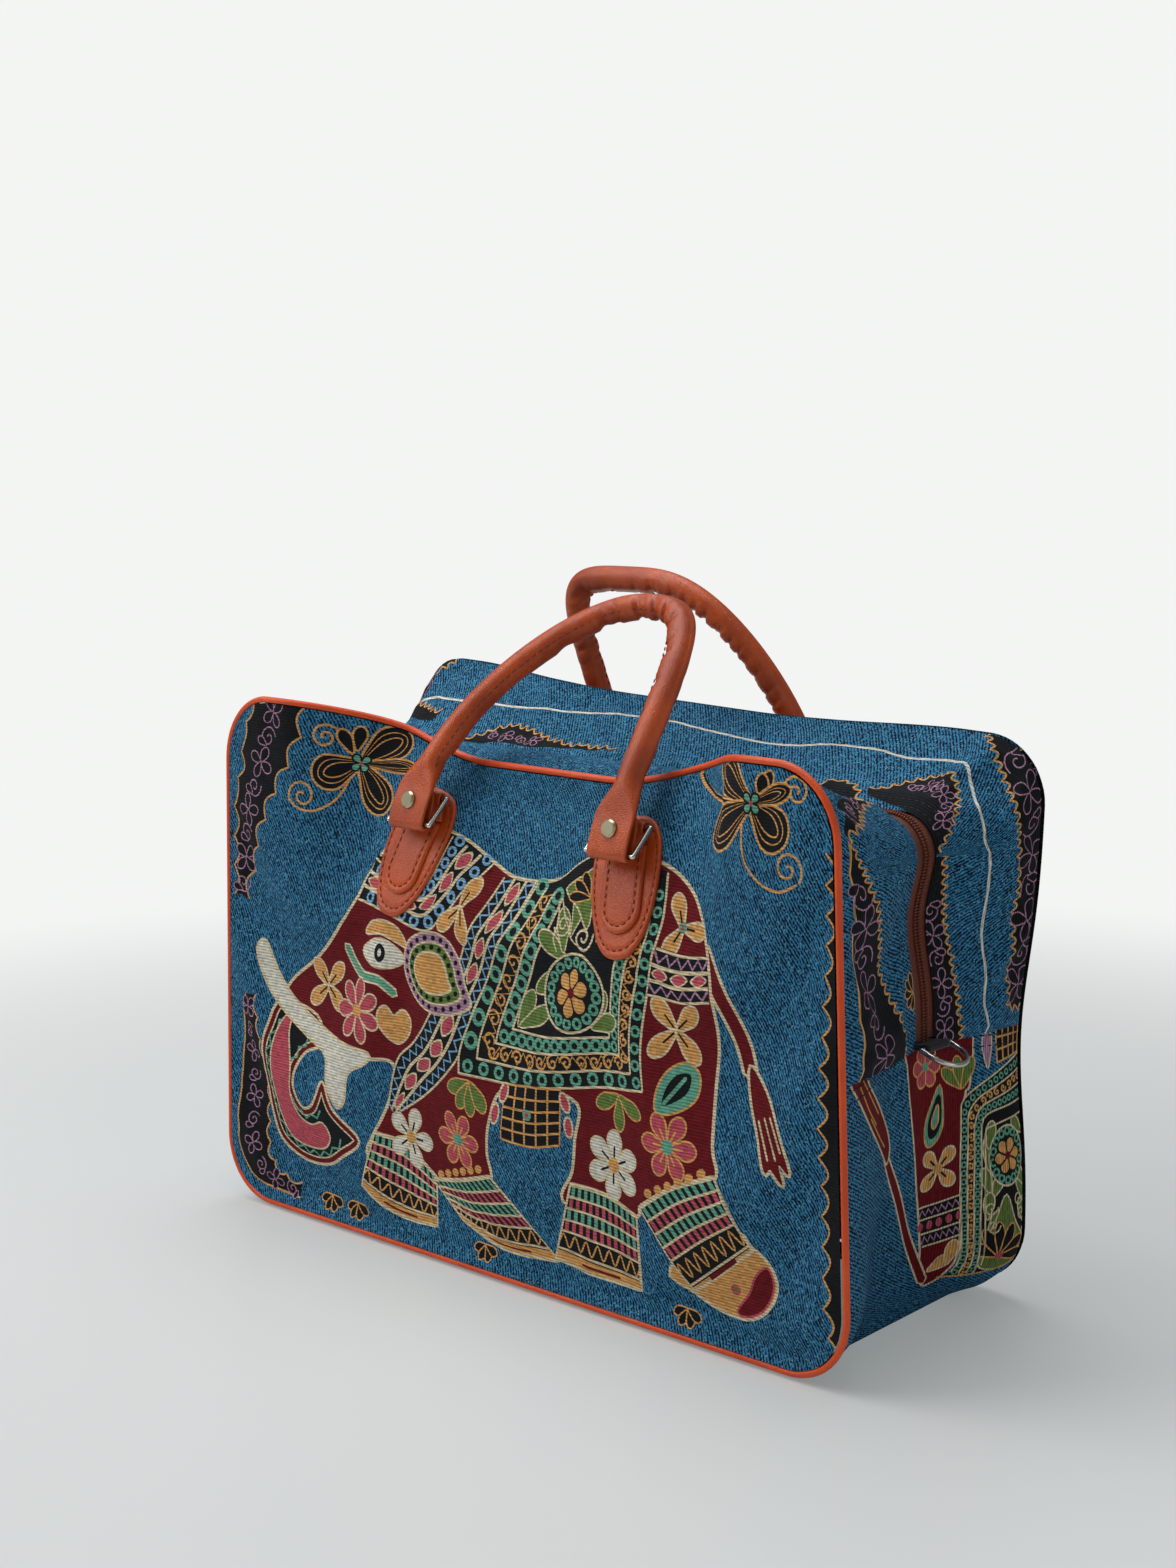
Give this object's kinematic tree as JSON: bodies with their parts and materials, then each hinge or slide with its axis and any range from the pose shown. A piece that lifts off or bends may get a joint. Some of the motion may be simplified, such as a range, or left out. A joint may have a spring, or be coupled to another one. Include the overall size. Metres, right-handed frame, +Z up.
{
  "type": "laptop bag",
  "caption": "Zip-top woven cloth travel bag for a laptop, with piped panels that slump at the top, a folding zip gusset, rolled leather handles on wire rings and D-rings for a strap.",
  "frame": {"origin": "centre of the bag's flat base, on the ground", "axes": "+X along the bag's width to the right of someone facing its front, +Y from the front panel to the back panel, +Z up"},
  "size_m": [0.4606, 0.1856, 0.3736],
  "materials": {
    "woven_cloth": "matte twill weave with a woven figure",
    "piping": "smooth satin",
    "leather": "satin grain",
    "zip_tape": "matte tape",
    "zip_coil": "satin coil",
    "zip_metal": "satin enamel",
    "webbing": "ribbed matte",
    "steel": "polished plating"
  },
  "bodies": {
    "bag": {"front_panel": "woven_cloth", "back_panel": "woven_cloth", "front_piping": "piping", "back_piping": "piping", "front_zip_strip": "woven_cloth", "back_zip_strip": "woven_cloth", "base_gusset": "woven_cloth", "front_zip_tape": "zip_tape", "back_zip_tape": "zip_tape", "front_zip_coil": "zip_coil", "back_zip_coil": "zip_coil", "left_web_loop": "webbing", "right_web_loop": "webbing", "front_left_patch": "leather", "front_right_patch": "leather", "back_left_patch": "leather", "back_right_patch": "leather", "front_left_tongue": "leather", "front_right_tongue": "leather", "back_left_tongue": "leather", "back_right_tongue": "leather"},
    "front_rings": {"front_left_ring": "steel", "front_right_ring": "steel"},
    "front_handle": {"front_handle": "leather", "front_left_rivet": "steel", "front_right_rivet": "steel"},
    "back_rings": {"back_left_ring": "steel", "back_right_ring": "steel"},
    "back_handle": {"back_handle": "leather", "back_left_rivet": "steel", "back_right_rivet": "steel"},
    "left_slider": {"left_zip_slider": "zip_metal"},
    "right_slider": {"right_zip_slider": "zip_metal"},
    "left_pull": {"left_zip_pull": "zip_metal"},
    "right_pull": {"right_zip_pull": "zip_metal"},
    "left_d_ring": {"left_d_ring": "steel"},
    "right_d_ring": {"right_d_ring": "steel"}
  },
  "joints": [
    {"name": "front_handle_swing", "type": "hinge", "parent": "front_rings", "child": "front_handle", "pos_m": [0, -0.07555, 0.24035], "axis": [1, 0, 0], "range_deg": [0, 150]},
    {"name": "front_ring_swing", "type": "hinge", "parent": "bag", "child": "front_rings", "pos_m": [0, -0.06282, 0.25308], "axis": [1, 0, 0], "range_deg": [0, 3.2]},
    {"name": "back_handle_swing", "type": "hinge", "parent": "back_rings", "child": "back_handle", "pos_m": [0, 0.09622, 0.24465], "axis": [-1, 0, 0], "range_deg": [0, 150]},
    {"name": "back_ring_swing", "type": "hinge", "parent": "bag", "child": "back_rings", "pos_m": [0, 0.08349, 0.25738], "axis": [-1, 0, 0], "range_deg": [0, 3.2]},
    {"name": "left_zip_travel", "type": "slide", "parent": "bag", "child": "left_slider", "axis": [-1, 0, 0], "range_m": [0, 0.14]},
    {"name": "right_zip_travel", "type": "slide", "parent": "bag", "child": "right_slider", "axis": [1, 0, 0], "range_m": [0, 0.14]},
    {"name": "left_pull_flip", "type": "hinge", "parent": "left_slider", "child": "left_pull", "pos_m": [-0.014, 0.01, 0.26675], "axis": [0, 1, 0], "range_deg": [0, 88]},
    {"name": "right_pull_flip", "type": "hinge", "parent": "right_slider", "child": "right_pull", "pos_m": [0.014, 0.01, 0.26675], "axis": [0, -1, 0], "range_deg": [0, 88]},
    {"name": "left_d_ring_swing", "type": "hinge", "parent": "bag", "child": "left_d_ring", "pos_m": [-0.2119, 0.01, 0.1488], "axis": [0, -1, 0], "range_deg": [-60, 60]},
    {"name": "right_d_ring_swing", "type": "hinge", "parent": "bag", "child": "right_d_ring", "pos_m": [0.2119, 0.01, 0.1488], "axis": [0, 1, 0], "range_deg": [-60, 60]}
  ],
  "couplings": [
    {"joint": "front_ring_swing", "follows": "front_handle_swing", "ratio": 0.02},
    {"joint": "back_ring_swing", "follows": "back_handle_swing", "ratio": 0.02}
  ]
}
